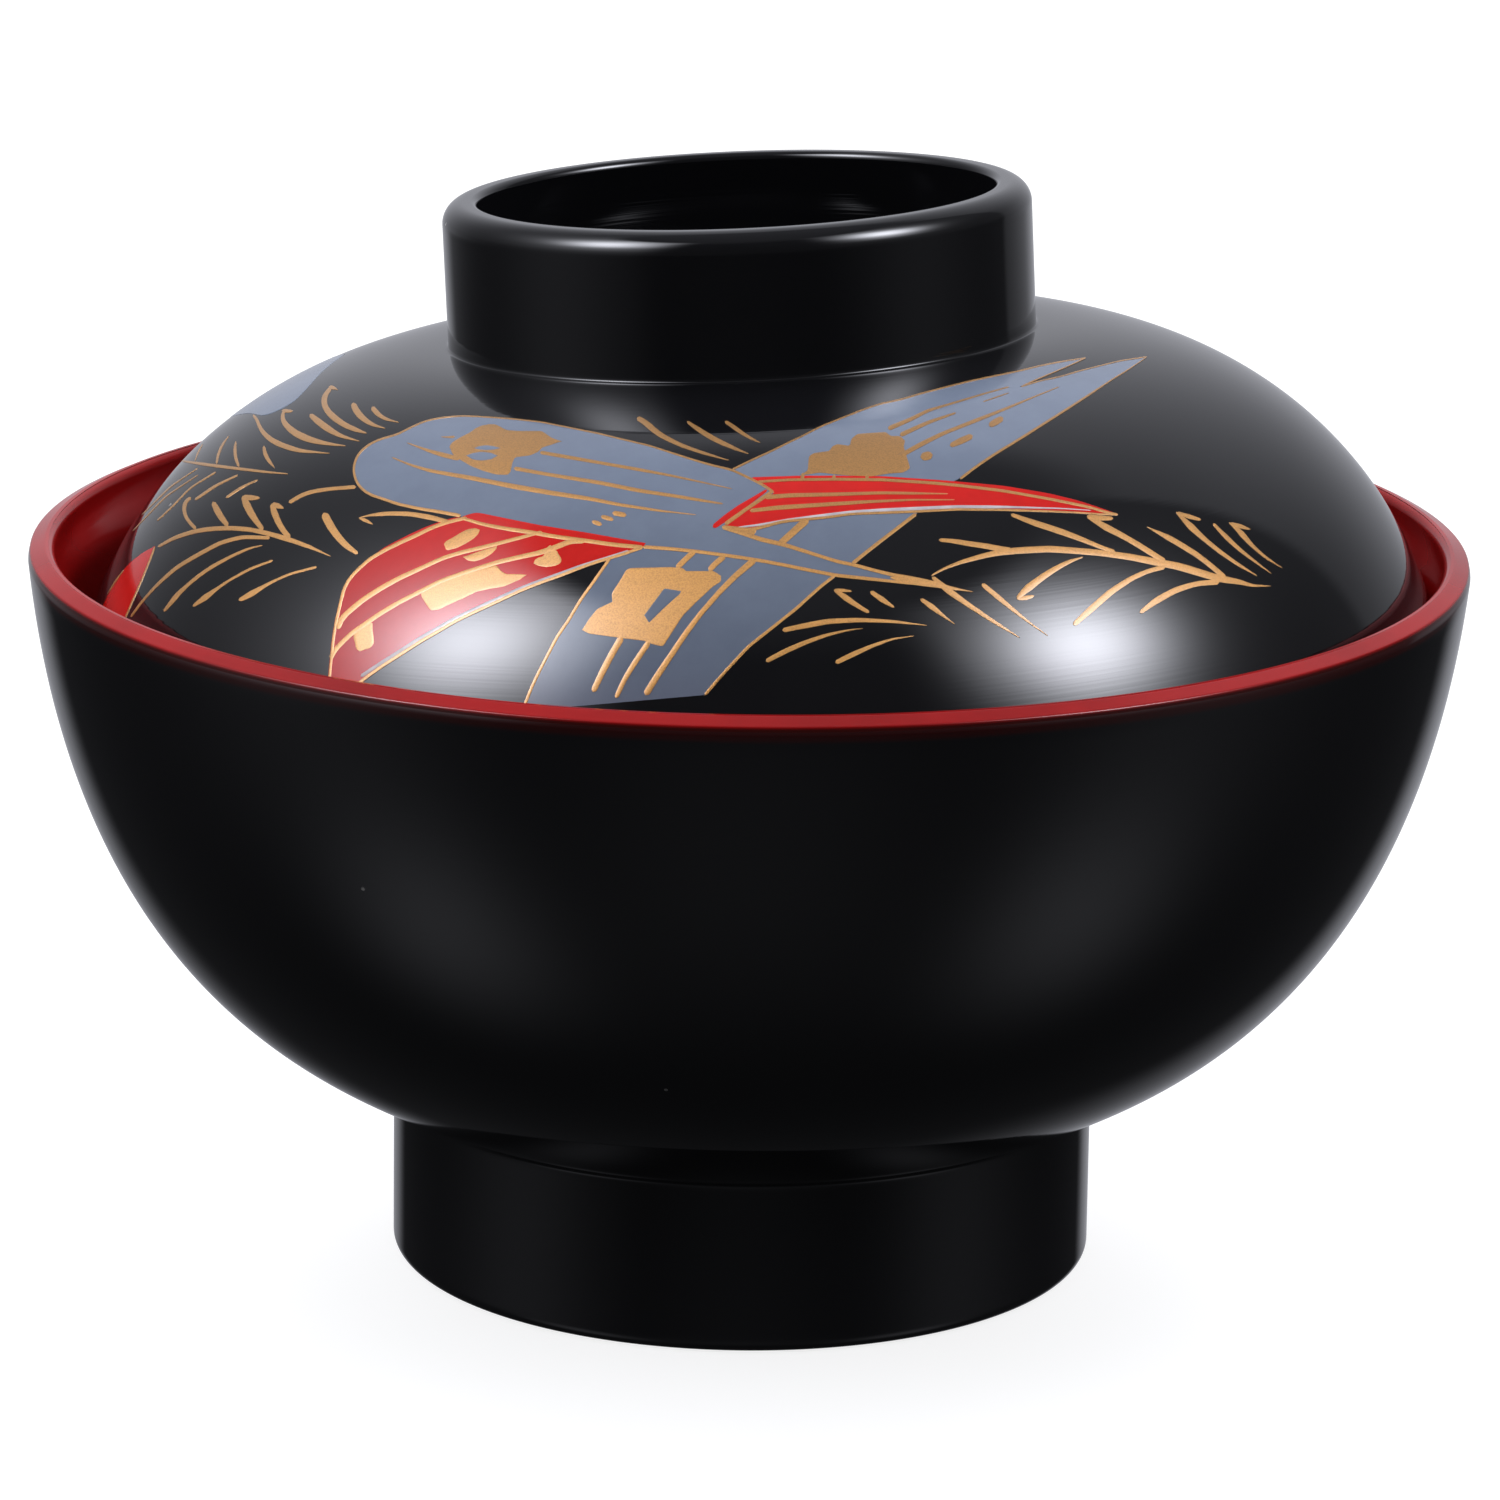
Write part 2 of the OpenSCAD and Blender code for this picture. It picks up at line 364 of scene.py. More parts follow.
def cameraAxes(c):
    # forward, right and up of the camera; the roll turns right and up about forward
    down, turn, roll = (math.radians(c[k]) for k in ("down", "turn", "roll"))
    forward = np.array([math.sin(turn) * math.cos(down), math.cos(turn) * math.cos(down),
                        -math.sin(down)])
    right = np.array([math.cos(turn), -math.sin(turn), 0])
    up = np.cross(right, forward)
    return (forward, math.cos(roll) * right + math.sin(roll) * up,
            math.cos(roll) * up - math.sin(roll) * right)


def addCamera(c):
    forward, right, up = cameraAxes(c)
    data = bpy.data.cameras.new("photoCamera")
    data.sensor_width = c["sensor"]
    data.lens = c["sensor"] * c["focal"] / c["frame"]
    camera = bpy.data.objects.new("photoCamera", data)
    matrix = np.eye(4)
    matrix[:3, 0], matrix[:3, 1], matrix[:3, 2] = right, up, -forward
    matrix[:3, 3] = np.array(c["place"]) * metre
    camera.matrix_world = Matrix(matrix.tolist())
    bpy.context.scene.collection.objects.link(camera)
    bpy.context.scene.camera = camera


addCamera(photoCamera)
print("camera placed")


# Azimuth is measured from straight behind the bowl towards its right, in degrees. Lamps are
# (azimuth, height, spread, strength), and edges in height or across are sines or cosines.
studio = {
    "lamps": [(112.2, 39.3, 12, 22.7), (112.2, 39.3, 22, 1.2), (-113.2, 43.3, 13.3, 18.0),
              (-113.2, 43.3, 27.6, 2.8)],
    "lampTop": (0.85, 0.91), "frontGap": (-0.72, -0.92),
    "mirrored": [(112, -45, 14, 0.32), (-115, -48, 14, 0.32),   # the lamps in the dark table
                 (105, -14, 24, 0.12), (-105, -14, 24, 0.12), (180, -42, 30, 0.09)],
    "backdrop": 0.55, "backdropSpread": (41, 46, 75),           # left, right, high on the right
    "backdropHigh": (0.2, 0.6), "backdropTop": (0.743, 0.883),
    "backdropFoot": (-0.64, -0.85, -0.13), "backdropLow": (0.84, 0.94), "lowEdge": (-0.1, -0.3),
    "middle": (-0.05, 0.05), "rightEdge": (0.636, 0.566), "rightEdgeDrop": 0.8,
    "ceiling": 0.16, "ceilingEdge": (0.75, 0.95),
    "room": 0.05, "roomEdge": (-0.1, 0.1), "table": 0.03, "tint": (0.90, 0.915, 1.0),
    "fill": 0.20, "above": (0, 60, 40, 5.2),                    # what dull paint sees
}


def heading(azimuth, height):
    a, h = math.radians(azimuth), math.radians(height)
    return (math.sin(a) * math.cos(h), math.cos(a) * math.cos(h), math.sin(h))


def buildStudio(s):
    world = bpy.data.worlds.new("studio")
    bpy.context.scene.world = world
    world.use_nodes = True
    kit = NodeKit(world.node_tree)
    way = kit.node("ShaderNodeTexCoord", out="Generated")

    def glow(azimuth, height, spread, strength):
        # soft lamp: strength x exp(2 (cos angle - 1) / spread squared)
        facing = kit.vector("DOT_PRODUCT", way, heading(azimuth, height), "Value")
        return strength * ((facing - 1) * (2 / math.radians(spread)**2)).exp()

    x, y, z = kit.parts(way)
    across = y / ((x * x + y * y + tiny) ** 0.5)
    onRight = x.between(*s["middle"])
    lamps = sum(glow(*lamp) for lamp in s["lamps"]) \
        * z.between(*s["lampTop"][::-1]) * (1 - across.between(*s["frontGap"]))
    left, right, high = (2 / math.radians(spread)**2 for spread in s["backdropSpread"])
    lowLeft, lowRight, foot = s["backdropFoot"]
    fall = left + onRight * (right - left + z.between(*s["backdropHigh"]) * (high - right))
    curtain = ((across - 1) * fall).exp() * z.between(*s["backdropTop"][::-1]) \
        * z.between(lowLeft + onRight * (lowRight - lowLeft), foot) \
        * (1 - onRight * across.between(*s["rightEdge"]) * s["rightEdgeDrop"]) \
        * (1 - z.between(*s["lowEdge"]) * (1 - across.between(*s["backdropLow"])))
    light = lamps + sum(glow(*lamp) for lamp in s["mirrored"]) + curtain * s["backdrop"] \
        + z.between(*s["ceilingEdge"]) * s["ceiling"] + z.between(*s["roomEdge"]) * s["room"] \
        + s["table"]
    path = kit.node("ShaderNodeLightPath")
    camera, glossy = (Wire(kit, path.socket.node.outputs[name])
                      for name in ("Is Camera Ray", "Is Glossy Ray"))
    share = s["fill"] + glossy * (1 - s["fill"])
    lit = kit.node("ShaderNodeBackground", None, {
        "Color": colour(*s["tint"]), "Strength": light * share + glow(*s["above"]) * (1 - glossy)})
    plain = kit.node("ShaderNodeBackground", None, {"Color": white, "Strength": 1.0})
    both = kit.node("ShaderNodeMixShader", None, {0: camera, 1: lit, 2: plain})
    kit.node("ShaderNodeOutputWorld", None, {"Surface": both})


floorLook = {
    "radius": 1500, "below": 0.02,                    # millimetres
    "colour": (0.90, 0.90, 0.90), "shadowShare": 0.35, "glow": 1.25,
    "clear": (0.08, 0.20),                            # metres out, where the shadow fades away
}


def addFloor(f):
    material, kit = newMaterial("paleFloor")
    far = kit.vector("LENGTH", kit.place(), out="Value").between(*f["clear"])
    path = kit.node("ShaderNodeLightPath", out="Is Camera Ray")
    diffuse = kit.node("ShaderNodeBsdfDiffuse", None, {"Color": colour(*f["colour"])})
    bright = kit.node("ShaderNodeEmission", None, {"Color": white, "Strength": f["glow"]})
    plain = (1 - f["shadowShare"]) + far * f["shadowShare"]
    both = kit.node("ShaderNodeMixShader", None, {0: path * plain, 1: diffuse, 2: bright})
    kit.node("ShaderNodeOutputMaterial", None, {"Surface": both})
    r, z = f["radius"] * metre, -f["below"] * metre
    mesh = bpy.data.meshes.new("floor")
    mesh.from_pydata([(-r, -r, z), (r, -r, z), (r, r, z), (-r, r, z)], [], [(0, 1, 2, 3)])
    mesh.materials.append(material)
    floor = bpy.data.objects.new("floor", mesh)
    bpy.context.scene.collection.objects.link(floor)
    floor.visible_glossy = floor.visible_diffuse = False


buildStudio(studio)
addFloor(floorLook)
bpy.context.scene.view_settings.view_transform = "Standard"
print("studio lit")


# Edges and depths are in metres, because the shaders read the meshes' own size. A noise is
# given by its scale, its detail and, where it isn't the usual one, its roughness.
blackLook = {
    "colour": (0.0045, 0.0045, 0.0052), "roughness": (0.025, 0.055), "ior": 1.5,
    "cloud": (60, 3.0), "ripple": (4500, 1.0), "rippleDepth": 0.0000025,
    "speckCell": 170, "speckSize": (0.035, 0.021), "speckPick": (0.93, 0.94),
    "speckColour": (0.35, 0.34, 0.32), "speckRough": 0.5,
    "lipTint": (0.030, 0.0016, 0.0014), "lipEdge": (0.0597, 0.0602),   # heights on the bowl
}
redLook = {
    "colour": (0.29, 0.004, 0.004), "deep": (0.21, 0.002, 0.002), "cloudEdge": (0.35, 0.7),
    "roughness": (0.12, 0.18), "ior": 1.35,
    "cloud": (45, 4.0, 0.6), "ripple": (1400, 1.0), "rippleDepth": 0.0000012,
    # thin and its edge: the lip's outer face is darker, partly where the coat thins and partly as
    # painted shade
    "thin": (0.045, 0.003, 0.002), "thinCoatShadeEdge": (0.0611, 0.06085), "lipInner": (0.0585, 0.0586),
    # wall and its edge: painted shade, a darker red down the inner wall where the lid shades it
    "wall": (0.14, 0.002, 0.002), "wallShadeEdge": (0.0595, 0.0555),
}


def levelled(kit, s, onLid):
    # the place on the piece with the lid's tip taken out, so that rings lie level
    place = kit.place()
    if not onLid:
        return place
    level = Matrix(tipMatrix(s).T.tolist()).to_euler()
    centre = (0, 0, seatHeight * metre)
    return kit.vector("ADD", kit.node("ShaderNodeMapping", None, {
        "Vector": kit.vector("SUBTRACT", place, centre), "Rotation": level}), centre)


def turningMarks(kit, place, look):
    # fine ripples: noise that runs round the axis, one value for each radius and height
    x, y, z = kit.parts(place)
    line = kit.node("ShaderNodeCombineXYZ", None, {0: (x * x + y * y) ** 0.5, 2: z})
    return kit.bump(kit.noise(line, *look["ripple"]), look["rippleDepth"])


def blackLacquer(look, onLid):
    material, kit = newMaterial("blackLacquerLid" if onLid else "blackLacquerBowl")
    place = levelled(kit, lidShape, onLid)
    cloud = kit.noise(place, *look["cloud"])
    low, high = look["roughness"]
    cells = kit.node("ShaderNodeTexVoronoi", None, {"Vector": place, "Scale": look["speckCell"]})
    pick = kit.parts(Wire(kit, cells.socket.node.outputs["Color"]))[0]
    speck = cells.between(*look["speckSize"]) * pick.between(*look["speckPick"])
    base = colour(*look["colour"])
    if not onLid:
        # the red coat fades out down the outside of the lip
        edge = kit.parts(place)[2].between(*look["lipEdge"])
        base = kit.mixed(edge, base, colour(*look["lipTint"]))
    surface(kit, {
        "Base Color": kit.mixed(speck, base, colour(*look["speckColour"])), "IOR": look["ior"],
        "Roughness": low + cloud * (high - low) + speck * look["speckRough"],
        "Normal": turningMarks(kit, place, look)})
    return material


def redLacquer(look, onLid):
    material, kit = newMaterial("redLacquerLid" if onLid else "redLacquerBowl")
    place = levelled(kit, lidShape, onLid)
    cloud = kit.noise(place, *look["cloud"])
    low, high = look["roughness"]
    base = kit.mixed(cloud.between(*look["cloudEdge"]), colour(*look["colour"]),
                     colour(*look["deep"]))
    if not onLid:
        # painted shade: the coat is darker deep down the inner wall; on the outer side of the lip
        # it is thin, and painted darker there as shade too
        x, y, z = kit.parts(place)
        outer = ((x * x + y * y) ** 0.5).between(*look["lipInner"])
        # painted shade: darker red lower down the inner wall, inside the lip
        paintedWallShade = z.between(*look["wallShadeEdge"]) * (1 - outer)
        base = kit.mixed(paintedWallShade, base, colour(*look["wall"]))
        # darker on the lip's outer face: a thinner coat, and painted shade
        base = kit.mixed(outer * z.between(*look["thinCoatShadeEdge"]), base, colour(*look["thin"]))
    surface(kit, {"Base Color": base, "Roughness": low + cloud * (high - low),
                  "IOR": look["ior"], "Normal": turningMarks(kit, place, look)})
    return material


bowlLine, bowlCoatLine, seatHeight, seatRadius = bowlProfiles(bowlShape)
lidLine, lidCoatLine, domeLine = lidProfiles(lidShape, bowlShape, seatHeight, seatRadius)
pivot = np.array([0, 0, seatHeight])
tip = tipMatrix(lidShape)


def tipped(points):
    return (points - pivot) @ tip.T + pivot


def addTurned(name, node, body, profile, material):
    points, quads, fans = turned(profile, smoothness["turns"])
    if body == "lid":
        points = tipped(points)
    piece = addPiece(name, body, material, points, quads, fans)
    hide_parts(node)
    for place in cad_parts[node].material_slots:
        place.material = material


addTurned("bowlBody", "bowl_shell", "bowl", bowlLine,
          blackLacquer(blackLook, False))
addTurned("bowlLining", "bowl_lining", "bowl", bowlCoatLine,
          redLacquer(redLook, False))
addTurned("lidBody", "lid_shell", "lid", lidLine, blackLacquer(blackLook, True))
addTurned("lidLining", "lid_lining", "lid", lidCoatLine, redLacquer(redLook, True))
print("bowl and lid turned")


# The painted ornament. The rows below are places read off the photograph, in its
# pixels. Each is cast from the camera onto the dome, and the paint is a thin closed skin that
# lies on it there. A place that is given twice in a row is a sharp corner.

paint = {
    "sink": 0.05,                                    # millimetres that the underside lies deeper
    "bevel": (0.3, 0.8), "least": 0.2,               # pixels, a rounded border and a least width
    "bevelRise": 0.8,                                # share of the height, halfway in the border
    "sheetBevel": (0.1, 0.22), "lineBevel": (0.15, 0.35),   # largest shares of the width
    "lineCrown": 1.02, "lineTip": 0.02,
    "fringeHeight": 0.032, "patchHeight": 0.036, "gapHeight": 0.040, "paleHeight": 0.039,
    "lineHeight": 0.044, "needleHeight": 0.030,      # millimetres above the dome
    "step": 1.6, "across": 2.5, "fine": 0.5,         # pixels between rings, columns, places
    "lineSoft": 5, "edgeSoft": 4, "patchSoft": 1.3,  # pixels over which a row is evened out
    "fewest": 6, "bell": 3,                          # steps in a short row, reach of the bell
    "columns": 3, "endRings": 8,                     # least across, and extra ones on a patch
    "walk": (575, 735, 1.5), "halvings": 24,         # millimetres from the camera to the dome
}

# Borders that a sheet and its gold line share.
stripTop = [
    (353, 470), (354, 466), (356, 458), (361, 451), (370, 444), (381, 439), (397, 435),
    (414, 426), (426, 421), (440, 418), (461, 416), (483, 417), (511, 419), (540, 422),
    (570, 428), (600, 434), (620, 439), (650, 446), (690, 459), (710, 465), (732, 470),
    (757, 482), (768, 488), (774, 493)]
stripLow = [(353, 470), (356, 481), (359, 487), (370, 495), (383, 499), (397, 504), (420, 509),
            (440, 512), (461, 516)]
stripFoot = [(461, 518), (483, 524.5), (506, 529), (531, 532.5), (556, 537), (583, 540.5),
             (615, 545), (643, 547.5)]
lowEdge = [
    (643, 547.5), (624, 554), (611, 558), (600, 561), (580, 568), (560, 576), (540, 583),
    (520, 591), (499, 601), (477, 611), (456, 621), (434, 634), (420, 642), (400, 655),
    (381, 667), (363, 680), (345, 696), (329, 712)]
spikeTop = [(722, 527), (740, 532.5), (762, 540), (783, 544.5), (816, 555), (838, 562),
            (852, 564.5), (870, 569.5), (892, 575), (914, 578.5), (933, 582.5), (958, 590)]
spikeLow = [(643, 547), (671, 549), (700, 552), (740, 557.5), (762, 561), (783, 565),
            (805, 569.5), (836, 575.5), (870, 579), (892, 581.5), (925, 585), (973, 592)]
panelLeft = [(611, 557), (600, 573), (580, 601), (569, 620), (557, 637), (550, 651), (540, 670),
             (531, 689), (526, 702), (522.5, 711)]
panelRight = [(835, 575.5), (819.5, 587.5), (796, 609), (772, 628), (748, 647), (724, 673),
              (715, 683), (705, 695)]
swooshLow = [(722, 527), (752, 530), (783, 521.5), (827, 517.5), (851, 514), (909, 512),
             (957, 509.5), (1003, 510), (1063, 512), (1115, 515)]
highTop = [(732, 470), (750, 461), (770, 452), (790, 442), (803, 436), (820, 427), (840, 419),
           (860, 411), (880, 404), (900, 400), (920, 394), (943, 388), (971, 381), (1000, 375)]
tipTop = [(1000, 375), (1020, 371), (1040, 366), (1060, 362), (1086, 358)]
tipLow = [(1021, 387), (1031, 382), (1050, 374), (1069, 366), (1086, 358)]
sideTop = [(1021, 387), (1040, 381), (1060, 377), (1080, 371), (1100, 366), (1120, 361),
           (1147, 357)]
highLow = [(960, 479), (980, 464), (1000, 451), (1020, 439), (1050, 420), (1080, 401),
           (1110, 381), (1131, 368), (1147, 357)]

# Height above the dome in millimetres, then the two borders of the sheet.
blueSheets = [
    (0.021, stripTop, stripLow + stripFoot + [(643, 547.5), (722, 527)]),
    (0.020, [(715, 520)] + spikeTop + [(973, 592)], [(636, 541)] + spikeLow),
    (0.016, [(620, 546)] + panelLeft, [(846, 568)] + panelRight),
    (0.014, swooshLow[:6] + [(920, 511)], spikeTop[:7]),
    (0.015, highTop + [(1000, 375), (1021, 387)] + sideTop, [
        (732, 470), (757, 482), (800, 482), (850, 482), (900, 483), (930, 484), (955, 482)]
        + highLow[1:]),
    (0.017, [(985, 378)] + tipTop, [(985, 392), (1003, 391)] + tipLow),
]
# This strip runs over to the far side, where pixels lie far apart: the last number, the pixels
# between its columns, keeps it close to the dome there.
farStrip = (0.024, [
    (228, 418), (237, 402), (255, 388), (275, 376), (295, 366), (317, 359), (345, 354)], [
    (228, 418), (240, 414.5), (252, 413), (260, 416.5), (270, 414.5), (284, 408), (294, 402),
    (304, 392), (313, 382), (320, 374), (330, 365), (345, 354)], 0.2)
redSheets = [
    (0.022, [
        (464, 517), (454, 517.5), (442, 521), (424, 527.5), (406, 536), (384, 547.5),
        (366, 560.5), (356, 569), (347, 580), (341.5, 592), (338, 606), (335, 619), (332, 636),
        (330, 655), (328, 675), (327, 690), (327, 712)], stripFoot + lowEdge),
    (0.030, [(464, 516), (476, 512), (520, 521), (540, 525), (590, 533), (646, 543)], stripFoot),
    (0.018, [
        (753, 477), (800, 475.5), (836, 475.5), (882, 476), (942, 480), (1003, 485.5),
        (1048, 493), (1079, 500.5), (1106, 509.5), (1118, 514)], swooshLow + [(1118, 514)]),
    (0.016, [
        (155, 546), (143, 552), (130, 562), (118, 576), (110, 590), (104, 602), (98, 618),
        (94, 634)], [
        (155, 546), (150, 560), (142, 580), (134, 598), (127, 614), (120, 632), (113, 648)]),
]

# Any number of widths at even shares of the length, then the row.
ribbonLines = [
    (3.2, 2.6, 2.2, 2, 1.8, 1.8, 2, 2.4, 3, 3.4, 4, stripTop[::-1] + stripLow[1:]),
    (1, 2, 3, [(441, 437), (447, 437.5), (455, 437)]),
    (1, 3, 5, 5, [(407, 443), (418, 447), (430, 451.5), (450, 457), (460, 459)]),
    (4, 4, 3.6, 3.6, 2.8, 2, 1, [
        (540, 452.5), (560, 456), (600, 463), (640, 470), (672, 476), (700, 482), (732, 489)]),
    (4.4, 4, 4.2, 4.4, 4.4, 4, 3.6, 2, [
        (514, 468.5), (550, 475), (600, 483), (640, 491), (680, 497), (710, 502), (723, 504)]),
    (1.5, 4, 5, 5.5, 5, 4, 3, 1, [
        (392, 457.5), (410, 465), (430, 471), (470, 478), (510, 486), (550, 493), (590, 499),
        (620, 505), (660, 511), (696, 515)]),
    (4, 5, 4, [(592, 521.5), (602, 525)]), (4, 5, 4, [(601, 516.5), (613.5, 520)]),
    (5, 5.5, 5, [(612.5, 513), (626.5, 515.5)]),
    (5, 5, 4, 4, 4, 3, spikeTop), (4, 4, 4, 4, 4, 3, 1, spikeLow),
    (2, 8, 7, 5, 3, 1, [
        (890, 577.5), (905, 580), (920, 582.5), (935, 585), (950, 588), (973, 592)]),
    (4, 4, 4, 3.5, 3, 3, [
        (467, 518), (449, 522), (434, 527), (420, 534), (400, 543), (384, 551), (370, 559),
        (359, 569), (350, 578), (344, 589), (341, 602), (337, 619), (334, 636), (332, 655),
        (330, 675), (329, 690), (329, 712)]),
    (3.5, 4.5, 4.5, 4.5, stripFoot), (3.5, 3.5, 3.5, lowEdge),
    (3.5, 4.5, 4.5, 5.5, 6, [
        (542, 532), (520, 538), (497, 544), (477, 549), (460, 553), (441, 559), (420, 569),
        (400, 578), (380, 589), (363, 600), (350, 611), (341, 619), (338, 629)]),
    (6, 5, 4.5, 5, 5, [
        (585, 541), (571, 541), (557, 547), (540, 553), (521, 557), (499, 562), (470, 571),
        (441, 581), (420, 592), (400, 602), (380, 614), (367, 623), (351, 634), (341, 644),
        (334, 651), (331, 659)]),
    (3.5, 3.5, panelLeft), (3.5, 3.5, panelRight),
    (6, 6, 6, [(695, 551), (686, 559), (680, 565), (676.5, 568.5)]),
    (6, 6, 6, [(725, 556), (715, 564), (709, 571)]),
    (7, 6, 5.5, 6, 6.5, 7, [
        (755, 559.5), (736, 575.5), (719.5, 592), (700.5, 614), (686, 633), (672, 654),
        (657.5, 675.5), (645.5, 695)]),
    (7, 7, 7, 6, [(622, 637), (612, 654), (603, 671), (593, 692)]),
    (6, 6, 5.5, 5, [(649, 642), (634, 664), (624, 680.5), (616, 698)]),
    (4, 3.5, 3, 3, 3, 2.5, 2, swooshLow),
    (4, 4, 4, [(916, 514), (892, 532.5), (870.5, 549), (852, 564)]),
    (8, 7.5, 7, [(808, 519), (794, 531.5), (779, 545)]),
    (4, 4, 4.5, [(772, 492), (746, 509.5), (725, 524.5)]),
    (3, 3.5, 3.3, 3, [
        (757.5, 482), (791, 480), (836, 479.5), (882, 480), (930, 483), (957.5, 485.5),
        (1003, 491), (1048.5, 499), (1088, 507), (1106, 512.5), (1118, 515)]),
    (5, 4.5, 4, 3.5, 3, 1, [(765, 497.5), (791, 495.5), (836, 494.5), (882, 493), (948, 494)]),
    (4, 5, 4.5, 4, 3, 2, 1, [
        (750, 511), (776, 508), (821, 505), (866.5, 502), (912, 500), (954.5, 500)]),
    (2.5, 2, 2, 2, 2, 1.5, highTop + tipTop[1:]),
    (1.5, 1.5, 1.5, tipLow), (1.5, 1.5, 1.5, sideTop), (3, 3, 2.5, 1, highLow),
    (5, 4, 2.4, 2, 1.5, [
        (888, 429), (912, 419), (927, 411), (957.5, 402), (982, 394.5), (1009, 387)]),
    (5, 4, 2, [(900, 435.5), (927, 423), (956, 413)]), (1, 1.5, 1, [(983, 402), (1009, 393)]),
    (5, 5, 4, 4, 3, 2, 1, [
        (897, 458), (918, 446), (942, 434), (972.5, 422), (1003, 410), (1033, 397.5),
        (1059, 387)]),
    (8, 9, 8, [(920.5, 457.5), (932.5, 455)]), (5, 7, 6, [(950, 446), (961, 441), (972.5, 436)]),
    (6, 7, 6, [(989, 426), (1003, 418)]), (3, 4, 4, [(803, 473), (802, 480)]),
    (3, 4, 4, [(834, 475), (834, 480)]), (3, 4, 4, [(867, 475), (867, 480)]),
    (2, 2, 2, [(155, 547), (150, 560), (142, 580), (134, 598), (127, 614), (120, 632)]),
    (1, 2, 1, [(124, 570), (115, 582), (108, 594)]),
]

goldPatches = [
    [(449.5, 447.5), (451, 443.5), (455, 440.5), (460, 437.5), (466, 434.5), (470, 432.5),
     (476, 428), (482, 425.5), (490, 424), (496, 424.5), (500, 426.5), (506, 430), (518, 431),
     (530, 431), (542, 431), (547, 434.5), (552, 438), (562, 441.5), (552, 445), (542, 448),
     (539, 452), (530, 456), (516, 457.5), (512.5, 460.5), (512.5, 470), (508, 475.5),
     (496, 475), (482, 471), (470, 466), (460, 460), (453, 455)],
    [(421, 591), (421, 596), (426, 604), (431, 611), (439, 610), (449, 605), (463, 599),
     (477, 592), (491, 589), (504, 587), (520, 580), (527, 575), (521, 574), (506, 574),
     (500, 570), (497, 565), (470, 571), (441, 581)],
    [(444, 544), (446, 541), (452, 538), (460, 533), (468, 529), (476, 528), (480, 530),
     (479, 534), (474, 539), (466, 544), (458, 548), (448, 551), (445, 549)],
    [(463, 557), (468, 561), (475, 562), (484, 559), (492, 554), (497, 549), (497, 546),
     (480, 551)],
    [(366, 622), (373, 622), (373, 630), (374, 637), (374.5, 643.5), (371, 648), (360, 651.5),
     (356, 649), (354.5, 641), (353, 636), (358, 628)],
    [(550, 545), (559, 545), (558.5, 549), (557.5, 553), (560, 556), (562, 559.5), (561, 563.5),
     (556, 566), (547, 567.5), (538, 566), (533.5, 563.5), (534.5, 560), (538, 557.5),
     (543, 556.5), (545, 552.5), (545, 549)],
    [(582, 630), (589, 619), (597, 609), (614, 601), (611, 596), (613, 591), (621, 579),
     (626, 570), (630, 568), (671, 567), (684, 568), (684, 571), (703, 571), (714, 571),
     (721, 576), (721, 582), (713, 587), (697, 602), (683, 616), (663, 647), (651, 644),
     (644, 641), (626, 639), (589, 634)],
    [(800, 476), (808, 470), (808, 464), (809, 456), (814, 453), (830, 451), (831, 447),
     (837, 444), (850, 446), (851, 439), (857, 434), (869, 433), (886, 432), (890, 436),
     (900, 436), (905, 441), (904, 447), (897, 451), (894, 455), (900, 462), (910, 464),
     (910, 469), (903, 473), (889, 474), (871, 477), (850, 476), (838, 475), (820, 473)],
    [(722, 527), (735, 528.5), (750, 530.5), (757, 527.5), (756, 533), (752, 537), (740, 532.5),
     (730, 529.5)],
]

blueGaps = [        # places left open in the gold patches
    [(474, 448.5), (479, 446), (486, 445), (494, 446), (501, 448.5), (494, 450.5), (486, 451),
     (479, 450.5)],
    [(466, 456), (472, 453), (481, 451.5), (491, 452.5), (498, 456), (492, 460), (482, 461.5),
     (473, 460.5)],
    [(644, 615), (664, 588), (681, 591), (681, 594), (664, 609), (649, 624)],
]

redFringes = [(5, 7, 7, 5, 3, [(713, 527.5), (726, 518), (743, 506), (757, 497), (767, 490)])]

paleLines = [
    (3, 4, 4, [
        (629, 551), (607, 558), (581, 566), (557, 575), (537, 582), (517, 590), (496, 599.5),
        (474, 609.5), (453, 619.5), (432, 631.5), (418, 639.5), (398, 652.5), (379, 664.5),
        (361, 676.5)]),
    (2, 3.5, 4, 4, 4, 3.5, 2, 1, [
        (735, 528), (760, 525), (790, 520), (830, 515), (851.5, 512.5), (880, 510.5),
        (912, 509), (957.5, 507), (1003, 507.2), (1063, 508.7), (1091, 510.5)]),
]

